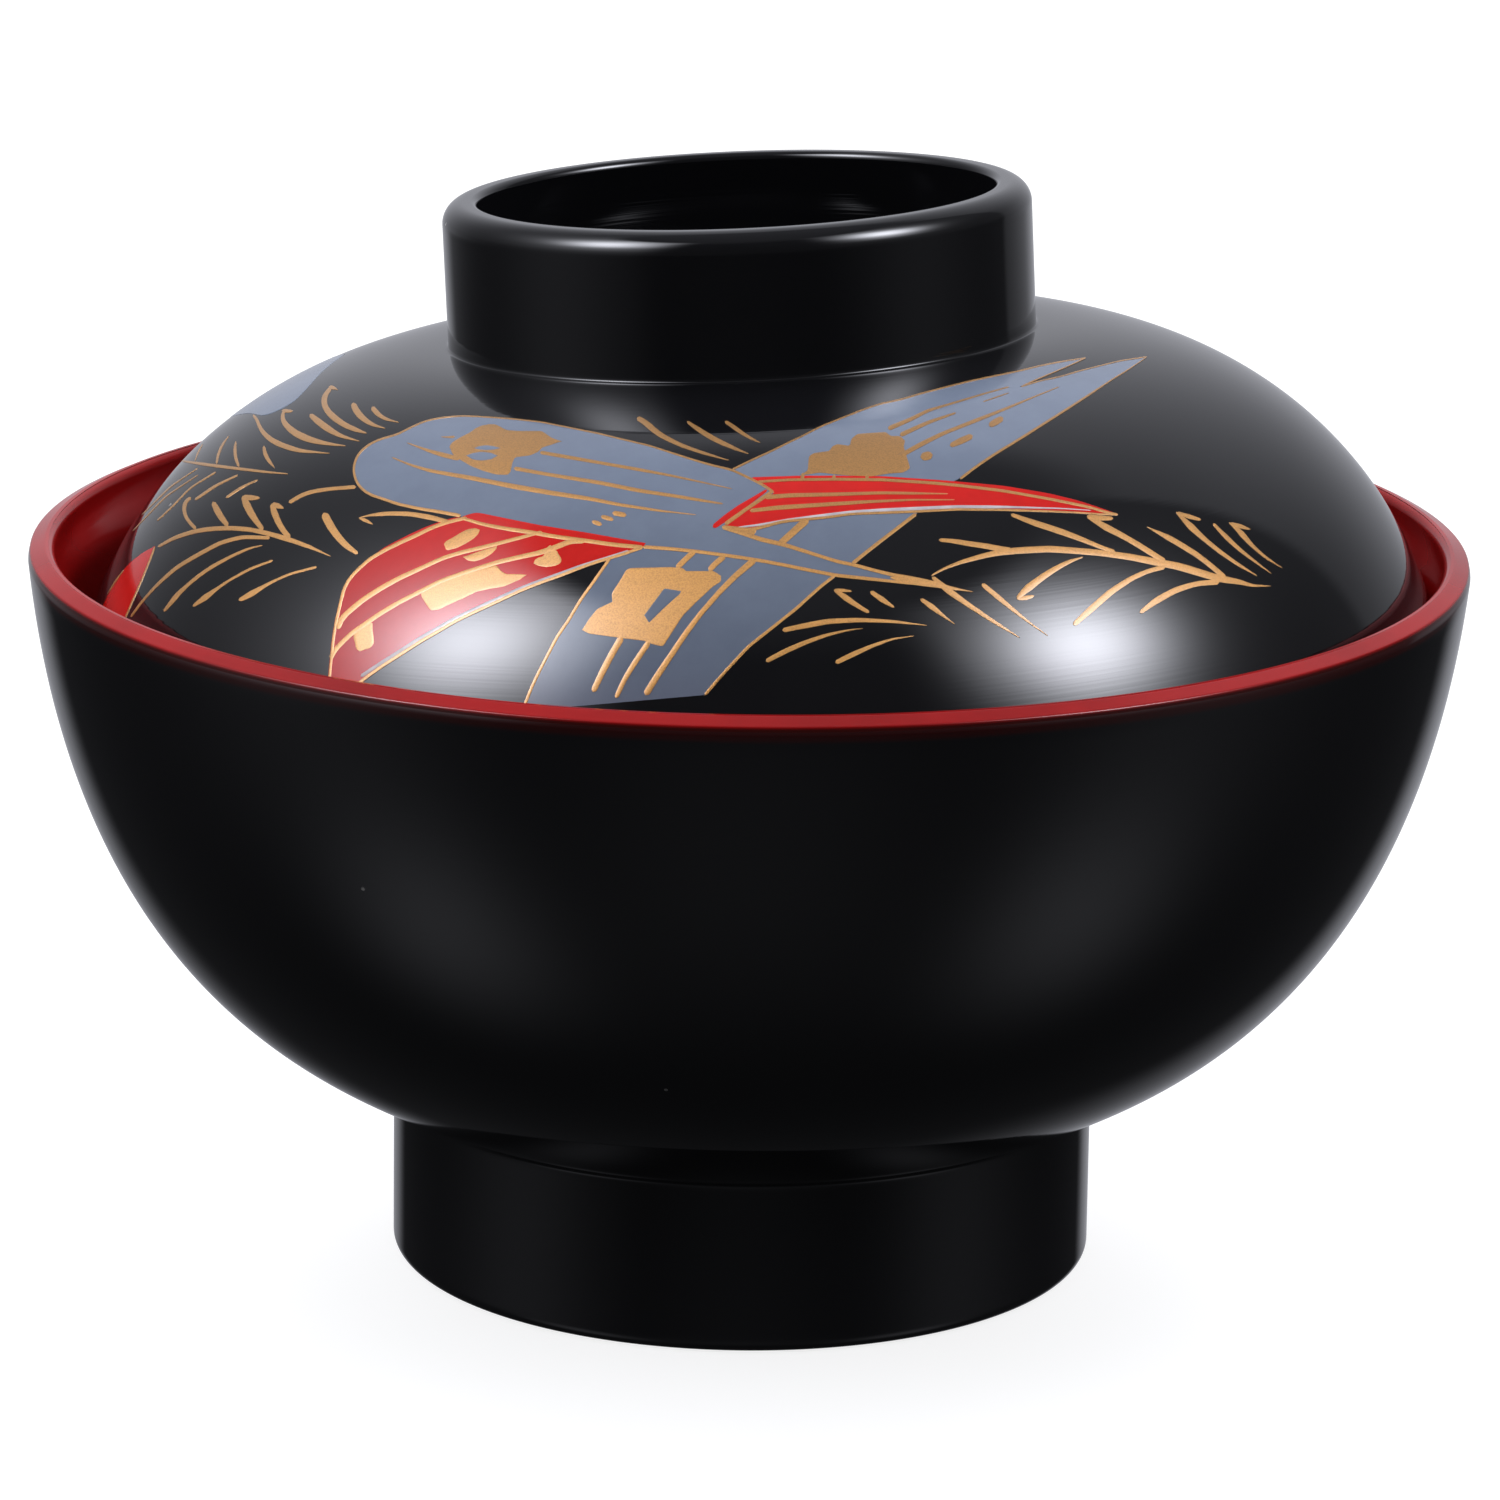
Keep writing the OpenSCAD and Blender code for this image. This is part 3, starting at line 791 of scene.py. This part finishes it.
pineSprays = {
    "pineRight": [
        (2, 5, 7, 7, 6.5, 7.2, 8, 7, 1, [
            (931, 576), (941, 570), (957, 563.5), (970, 559.5), (991, 554), (1013, 551),
            (1049, 549), (1077, 551), (1100, 553), (1130, 557), (1160, 563), (1177, 566),
            (1197, 572), (1220, 579), (1240, 582), (1252, 586), (1271, 586)]),
        (4, 5.5, 6, 6.5, [
            (939, 540), (953, 541), (970, 544), (985, 546), (1000, 549), (1012, 551)]),
        (4, 6.5, 6.5, 5, 4, [
            (1011, 514.5), (1023, 519), (1034, 523), (1056, 530), (1078, 538), (1100, 547),
            (1115, 552)]),
        (4, 7, 6, 6, 6, [
            (1087, 516), (1097, 522), (1105, 527), (1120, 534.5), (1140, 546), (1165, 562)]),
        (4, 6, 4, [(1087, 516), (1098, 518), (1113, 518.5)]),
        (1, 6, 6, 5.5, 5.5, [
            (1147, 527), (1157, 532), (1165, 536), (1176, 542), (1197, 555), (1210, 565),
            (1225, 578)]),
        (2, 7, 5, 4.5, 3.5, 1.5, [
            (1176, 512), (1183, 519), (1191, 527), (1205, 540), (1220, 552), (1237, 564),
            (1257, 576)]),
        (3, 5, 3, [(1177, 512.5), (1188, 516.5), (1201, 520)]),
        (3, 5, 4, 3, 1, [
            (1213, 523.5), (1219, 530), (1230, 541), (1241, 551), (1258, 564), (1271, 573.5)]),
        (2, 6, 4, 3, 1, [
            (1229, 522.5), (1235, 527), (1241, 533), (1252, 546), (1266, 558), (1282, 568)]),
        (3, 5, 2, [(1230, 523), (1240, 526.5), (1250, 529.5)]),
        (4, 8, 7, 6, 4.5, 1.5, [
            (1017, 599), (1023, 592), (1030, 586.5), (1041, 578), (1054, 569.5), (1068, 562),
            (1083, 557)]),
        (3, 5, 3, [(1017, 599), (1026, 598), (1034, 596)]),
        (5, 7, 7, 6, 5, 5, [
            (1073.5, 625), (1088.5, 611.5), (1110.5, 592), (1132, 578), (1149.5, 570.5),
            (1165, 567)]),
        (4, 7, 6.5, 5.5, 6, [
            (1140, 613), (1154, 602), (1175.5, 590), (1197, 583.5), (1219, 582)]),
        (3, 6.5, 5, 4, [(834, 590), (842, 595), (850, 601), (860, 607.5), (869, 612.5)]),
        (3, 4, 2, [(834, 590), (843, 590.5), (852, 591.5)]),
        (4.5, 6, 2.5, [(870.5, 591.5), (881, 599), (894, 607.5)]),
        (5, 6, 5.5, 4.5, 3.3, 1, [
            (782.5, 630.5), (794, 628), (827, 621.5), (859.5, 620), (892, 621.5),
            (927, 625.5)]),
        (5, 5.5, 5, 4, 2.7, 0.8, [
            (766, 661.5), (783.5, 652), (805, 642.5), (827, 635), (848.5, 630), (863, 628.5)]),
        (5, 5.5, 4, 2.6, 1, [
            (835.5, 663), (848.5, 656.5), (870.5, 646.5), (892, 639), (914, 636)]),
        (4, 6, 3.3, 0.8, [(920.5, 599), (931.5, 606.5), (942, 615), (955, 624.5)]),
        (4, 7, 5.5, 4.5, 3.3, 1, [
            (932, 577), (938, 582), (950, 592), (970, 606), (991, 620), (1020, 638)]),
        (5, 5.5, 4, 2.2, 0.8, [(982, 584), (994, 594), (1012, 609), (1031, 624), (1048, 636)]),
        (5, 6.5, 5.5, 4.8, 4, 3.5, 2.5, 1, [
            (637, 418), (644, 421), (650, 427), (660, 435), (680, 445), (700, 452), (720, 458),
            (729, 460.5)]),
        (3, 5, 5.5, 5, 3.5, 1, [
            (687, 421.5), (696, 428), (710, 437), (720, 442), (736, 449), (748.5, 454)]),
        (3.5, 4.5, 4, 3, 1, [(725, 421.5), (734, 427), (740, 432), (750, 438), (760.5, 443)]),
    ],
    "pineLeft": [
        (4, 6, 6.5, 7, 6, 5, 1.5, [
            (331, 388), (325, 394), (323, 402), (326, 410), (334, 418), (346, 426), (356, 430),
            (367, 433.5)]),
        (5, 4, 1, [(329, 387), (334, 388), (338, 390)]),
        (6, 7, 6.5, 5, 3, 1, [(353, 403), (355, 410), (362, 418), (372, 425), (385.5, 428.5)]),
        (5.5, 5.5, 4, 2.5, 1, [(372, 407), (376, 413), (384, 419), (399, 422.5)]),
        (5, 7, 7, 5, 3, 1, [(310, 414.5), (316, 420), (328, 429), (340, 436), (360, 441.5)]),
        (3, 5.5, 7, 7.5, 6.5, 4.5, 3, 1, [
            (284, 411), (281, 417), (285, 425), (296, 434), (310, 440), (328, 444),
            (346, 446)]),
        (4, 4, 2, [(282, 411), (287, 411), (293, 411)]),
        (3, 4, 5.5, 6, 5.5, 4, 2.5, 1, [
            (253, 415), (258, 419), (258, 424), (262, 432), (272, 441), (286, 447), (300, 451),
            (330, 453.5)]),
        (3, 4.5, 4, 1, [(264, 446), (264, 452), (268, 460), (275, 468.5)]),
        (2, 3.6, 3.6, 3, [(236, 441.5), (234.5, 450), (236, 460), (239, 467)]),
        (1, 2.6, 3, 2.5, [(229, 436), (223, 443), (218, 454), (216.5, 464)]),
        (2, 3.6, 3.6, 3.3, 2.8, 1.6, [
            (182, 461), (195, 463), (216, 466), (240, 469), (265, 472), (288, 474)]),
        (3, 4.5, 5, 5, 5, 5.5, 4.5, 1, [
            (158, 547), (174, 538), (194, 531.5), (210, 529), (230, 528), (250, 529.5),
            (270, 534), (290, 540), (310, 547), (331, 556.5)]),
        (2.5, 3, 4, 4.5, 4.5, 4.5, 4, [
            (131, 617), (140, 604), (156, 586), (176, 568), (196, 556), (220, 543), (242, 537),
            (270, 538)]),
        (3, 4.5, 4, 4, 4, [(191, 497.5), (186, 499), (183, 510), (187, 520), (196, 529)]),
        (5, 7, 6.5, 4.5, [(213, 502), (215, 506), (220, 516), (228, 526)]),
        (5, 8, 7.5, 6, 5, [(243, 496), (246, 503), (250, 512), (256, 521), (263, 530)]),
        (5, 6, 3, [(243, 497), (251, 498), (260, 498)]),
        (5, 7, 6.5, 6, 5.5, [(272, 504), (274, 512), (278, 522), (284, 532), (290, 538)]),
        (5, 6, 2, [(272, 504), (278, 506), (284, 508.5)]),
        (8, 8.5, 7.5, 6.5, 4, [(324, 513), (328, 522), (335, 533), (345, 545), (358, 554)]),
        (4, 4.5, 4.3, 4, 4.5, [(289, 503), (298, 497), (310, 492), (330, 489), (356, 487)]),
        (1, 4.5, 5, 5.5, 5, [
            (359, 518), (368, 515.5), (388, 513.5), (411, 514), (433, 518), (449, 522.5)]),
        (1.5, 4, 3.5, 1.5, [(359, 518), (366, 520.5), (373, 524.5)]),
        (3, 5.5, 4, 4, 4, 3.5, 3, 1.5, [
            (164, 611.5), (170, 604), (180, 592), (196, 578), (210, 568), (230, 557),
            (250, 548), (262.5, 545.5)]),
        (3, 6.5, 3.5, 3, 3, 3, 2.5, [
            (193, 606.5), (199, 602), (205, 598), (218, 588), (230, 580), (250, 569),
            (273, 560.5)]),
        (4, 6.5, 4, 3, 3, 3, 2.8, [
            (239, 600.5), (246, 597), (253, 593), (270, 583), (290, 574), (317, 567)]),
    ],
    "paleNeedles": [
        (2, 2, 2, [(216, 472), (190, 488), (172, 507), (157, 521)]),
        (2, 3, 3, [(238, 475), (215, 486), (195, 500)]),
        (2, 3, 3, [(258, 480), (242, 487), (226, 498)]),
        (1, 2, 1, [(198, 468), (170, 487), (142, 515)]),
        (1, 2, 1, [(198, 475), (165, 497), (133, 531)]),
        (1, 2, 1, [(203, 444), (198, 452), (195, 461)]),
    ],
}

domeRadius, domeHeight = domeLine[:, 0], domeLine[:, 1]
domeSlope = np.gradient(domeHeight, domeRadius)


def castOnDome(pixels):
    # each pixel's ray is taken into the level lid's frame and walked until it is below the dome,
    # then halved onto it; a ray that passes the dome goes on past the place where it comes
    # nearest, by sqrt(2 x dome radius x gap), so that paint can run over to the far side
    forward, right, up = cameraAxes(photoCamera)
    x, y = (pixels - photoCamera["frame"] / 2).T
    way = photoCamera["focal"] * forward + x[:, None] * right - y[:, None] * up
    way = way / np.linalg.norm(way, axis=1, keepdims=True) @ tip
    start = (np.array(photoCamera["place"]) - pivot) @ tip + pivot
    rim = domeRadius[-1]

    def above(travel):
        # height over the dome, and beside the dome the distance to its edge
        place = start + travel[..., None] * (way[:, None] if travel.ndim > 1 else way)
        radius = np.hypot(place[..., 0], place[..., 1])
        over = place[..., 2] - np.interp(radius, domeRadius, domeHeight)
        return np.where(radius > rim, np.hypot(radius - rim, over), over), place

    walk = np.arange(*paint["walk"])
    gap = above(np.repeat(walk[None], len(pixels), axis=0))[0]
    under = gap < 0
    struck = under.any(axis=1)
    first = np.where(struck, under.argmax(axis=1), gap.argmin(axis=1))
    low, high = walk[np.maximum(first - 1, 0)], walk[first]
    for _ in range(paint["halvings"]):
        middle = (low + high) / 2
        below = above(middle)[0] < 0
        low, high = np.where(below, low, middle), np.where(below, middle, high)
    # the lowest point of the parabola through the three steps nearest the dome
    near = np.clip(gap.argmin(axis=1), 1, len(walk) - 2)
    before, here, after = (np.take_along_axis(gap, near[:, None] + k, 1)[:, 0] for k in (-1, 0, 1))
    bow = np.maximum(before - 2 * here + after, tiny)
    nearest = walk[near] + (walk[1] - walk[0]) * np.clip((before - after) / bow / 2, -1, 1)
    missed, place = above(np.where(struck, high, nearest))
    past = np.sqrt(2 * rim * np.where(struck, 0, np.maximum(missed, 0)))
    place = place + past[:, None] * way
    radius = np.hypot(place[:, 0], place[:, 1])
    return np.clip(radius, domeRadius[0], rim), place[:, 0] / radius, place[:, 1] / radius


def onDome(radius, cosine, sine, lift):
    # the dome's point at that radius and heading, moved along the dome's normal (-slope, 1)
    slope = np.interp(radius, domeRadius, domeSlope)
    size = np.hypot(slope, 1)
    out = radius - lift * slope / size
    height = np.interp(radius, domeRadius, domeHeight) + lift / size
    return np.stack([out * cosine, out * sine, height], -1)


def lengths(row):
    # the distance along the row to each of its points
    return np.append(0, np.cumsum(np.linalg.norm(np.diff(row, axis=0), axis=1)))


def readOff(walk, far, row):
    # the places on the row where the distance far is the one walked
    return np.stack([np.interp(walk, far, row[:, k]) for k in (0, 1)], 1)


def evened(row, softness, step):
    # the row walked at even steps, then averaged with a bell weight; both ends are mirrored,
    # so they stay
    far = lengths(row)
    count = max(int(far[-1] / step), paint["fewest"])
    walk = np.linspace(0, far[-1], count + 1)
    points = readOff(walk, far, row)
    soft = min(softness, far[-1] / paint["fewest"])
    reach = min(int(paint["bell"] * soft / walk[1]) + 1, count)
    weight = np.exp(-0.5 * (np.arange(-reach, reach + 1) * walk[1] / soft)**2)
    long = np.concatenate([2 * points[0] - points[reach:0:-1], points,
                           2 * points[-1] - points[-2:-reach - 2:-1]])
    return np.stack([np.convolve(long[:, k], weight / weight.sum(), "valid") for k in (0, 1)], 1)


def softened(row, softness, step=1.0):
    row = np.array(row, float)
    corners = np.flatnonzero((np.diff(row, axis=0) == 0).all(axis=1)) + 1
    return joined(*[evened(part, softness, step) for part in np.split(row, corners)])


def shared(row, count):
    # the row read off at equal shares of its length
    far = lengths(row)
    return readOff(np.linspace(0, far[-1], count), far, row)


def skin(left, right, share, rise, height):
    # a closed skin: rings across from left to right, lifted by height x rise, and back underneath
    rings, across = share.shape
    pixels = left[:, None] + share[..., None] * (right - left)[:, None]
    pixels = np.concatenate([pixels, pixels[:, -2:0:-1]], axis=1)
    lift = np.concatenate([np.broadcast_to(height * rise, (rings, across)),
                           np.full((rings, across - 2), -paint["sink"])], axis=1).ravel()
    around = pixels.shape[1]
    place = castOnDome(pixels.reshape(-1, 2))
    points = onDome(*place, lift)
    grid = points.reshape(rings, around, 3)
    points = np.concatenate([points, [grid[0].mean(axis=0), grid[-1].mean(axis=0)]])
    quads, fans = stitched(rings, around)
    middle = across // 2
    base = grid[:-1, middle]
    facing = np.cross(grid[:-1, middle + 1] - base, grid[1:, middle] - base)
    outward = (onDome(*place, 1.0) - onDome(*place, 0.0)).reshape(grid.shape)[:-1, middle]
    if (facing * outward).sum() < 0:
        quads, fans = quads[:, ::-1], fans[:, ::-1]
    return points, quads, fans, np.append(np.clip(lift / height, 0, 1), [0, 0])


def bandSkin(left, right, height, bevel, even, crown=1.0):
    # flat across, with a narrow rounded border, and a slight crown in the middle
    near, full = paint["bevel"]
    width = np.maximum(np.linalg.norm(right - left, axis=1), paint["least"])[:, None]
    one, two = np.minimum(near / width, bevel[0]), np.minimum(full / width, bevel[1])
    share = np.concatenate([0 * one, one, two + (1 - 2 * two) * even, 1 - one, 0 * one + 1],
                           axis=1)
    rise = np.ones(share.shape[1])
    rise[[0, -1]], rise[[1, -2]] = -paint["sink"] / height, paint["bevelRise"]
    rise[len(rise) // 2] *= crown
    return skin(left, right, share, rise, height)


def sheetSkin(left, right, height, step=paint["across"]):
    widest = np.linalg.norm(right - left, axis=1).max()
    even = np.linspace(0, 1, max(int(widest / step), paint["columns"]))
    return bandSkin(left, right, height, paint["sheetBevel"], even)


def ribbonSkin(row):
    height, one, other, *step = row
    one, other = softened(one, paint["edgeSoft"]), softened(other, paint["edgeSoft"])
    count = int(max(len(one), len(other)) / paint["step"])
    return sheetSkin(shared(one, count), shared(other, count), height, *step)


def patchSkin(outline, height):
    # a closed outline is split at its first point and the one farthest from it, and both halves
    # are read off at the same progress along the line between those two
    outline = np.array(outline, float)
    far = np.linalg.norm(outline - outline[0], axis=1).argmax()
    length = np.linalg.norm(outline[far] - outline[0])
    along = (outline[far] - outline[0]) / length
    count = int(length / paint["step"]) + paint["endRings"]
    walk = length * (1 - np.cos(np.pi * np.linspace(0, 1, count))) / 2
    halves = []
    for half in (outline[:far + 1], np.concatenate([outline[far:], outline[:1]])[::-1]):
        row = softened(half, paint["patchSoft"], paint["fine"])
        progress = np.maximum.accumulate((row - outline[0]) @ along)
        halves.append(readOff(walk, progress + np.arange(len(row)) * tiny, row))
    return sheetSkin(*halves, height)


def lineSkin(row, height):
    # a brush line with round ends: width x sqrt(1 - (1 - distance / reach)^2)
    *widths, places = row
    path = softened(places, paint["lineSoft"], paint["step"])
    far = lengths(path)
    width = np.interp(far / far[-1], np.linspace(0, 1, len(widths)), widths)
    for distance, reach in ((far, widths[0] / 2), (far[-1] - far, widths[-1] / 2)):
        width = width * np.sqrt(1 - (1 - np.clip(distance / reach, paint["lineTip"], 1))**2)
    side = leftward(path) * width[:, None] / 2
    return bandSkin(path - side, path + side, height, paint["lineBevel"], np.array([0, 0.5, 1]),
                    paint["lineCrown"])


def addPaint(name, material, skins):
    points, quads, fans, edges, count = [], [], [], [], 0
    for one in skins:
        points.append(one[0])
        quads.append(one[1] + count)
        fans.append(one[2] + count)
        edges.append(one[3])
        count += len(one[0])
    addPiece(name, "lid", material, tipped(np.concatenate(points)), np.concatenate(quads),
             np.concatenate(fans), edge=np.concatenate(edges))
    print(name, count, "points")


goldLook = {
    "colour": (0.53, 0.275, 0.075), "thin": (0.05, 0.014, 0.004),
    "grain": (7500, 3.0, 0.7), "shade": 0.8, "grainGain": 1.7, "edge": (0.35, 0.95),
    "roughness": (0.55, 0.68), "metallic": 0.95, "ior": 1.5,
    "coat": 1.0, "coatRoughness": 0.3, "coatIor": 1.55, "depth": 0.00002,
}
flatLooks = {
    "bluePaint": {"colour": (0.143, 0.172, 0.223), "cloudColour": (0.132, 0.159, 0.209),
                  "cloud": (220, 4.0, 0.65), "roughness": (0.09, 0.13)},
    "redPaint": {"colour": (0.54, 0.006, 0.003), "cloudColour": (0.50, 0.005, 0.002),
                 "cloud": (500, 4.0, 0.65), "roughness": (0.09, 0.13)},
    "palePaint": {"colour": (0.50, 0.45, 0.45), "cloudColour": (0.38, 0.34, 0.35),
                  "cloud": (500, 4.0, 0.65), "roughness": (0.12, 0.2)},
}
flatShared = {"cloudEdge": (0.35, 0.65), "ior": 1.5}


def goldPaint(look):
    material, kit = newMaterial("goldPaint")
    grain = kit.noise(kit.place(), *look["grain"])
    edge = kit.node("ShaderNodeAttribute", {"attribute_name": "edge"}, None, "Fac")
    low, high = look["roughness"]
    shade, gain = look["shade"], look["grainGain"]
    full = edge.between(*look["edge"]) * (1 - shade + grain * shade * gain)
    surface(kit, {
        "Base Color": kit.mixed(full, colour(*look["thin"]), colour(*look["colour"])),
        "Roughness": low + grain * (high - low), "Metallic": look["metallic"],
        "IOR": look["ior"], "Coat Weight": look["coat"], "Coat IOR": look["coatIor"],
        "Coat Roughness": look["coatRoughness"], "Normal": kit.bump(grain, look["depth"])})
    return material


def flatPaint(name, look, common):
    material, kit = newMaterial(name)
    cloud = kit.noise(kit.place(), *look["cloud"])
    low, high = look["roughness"]
    surface(kit, {
        "Base Color": kit.mixed(cloud.between(*common["cloudEdge"]), colour(*look["colour"]),
                                colour(*look["cloudColour"])),
        "Roughness": low + cloud * (high - low), "IOR": common["ior"]})
    return material


gold = goldPaint(goldLook)
blue, red, pale = (flatPaint(name, look, flatShared) for name, look in flatLooks.items())
addPaint("farRibbonBlue", blue, [ribbonSkin(farStrip)])
addPaint("ribbonBlue", blue, [ribbonSkin(row) for row in blueSheets]
         + [patchSkin(outline, paint["gapHeight"]) for outline in blueGaps])
addPaint("ribbonRed", red, [ribbonSkin(row) for row in redSheets]
         + [lineSkin(row, paint["fringeHeight"]) for row in redFringes])
addPaint("ribbonGoldPatches", gold,
         [patchSkin(outline, paint["patchHeight"]) for outline in goldPatches])
addPaint("ribbonGoldLines", gold, [lineSkin(row, paint["lineHeight"]) for row in ribbonLines])
addPaint("ribbonPaleLines", pale, [lineSkin(row, paint["paleHeight"]) for row in paleLines])
for name, rows in pineSprays.items():
    addPaint(name, gold, [lineSkin(row, paint["needleHeight"]) for row in rows])
print("ornament painted")
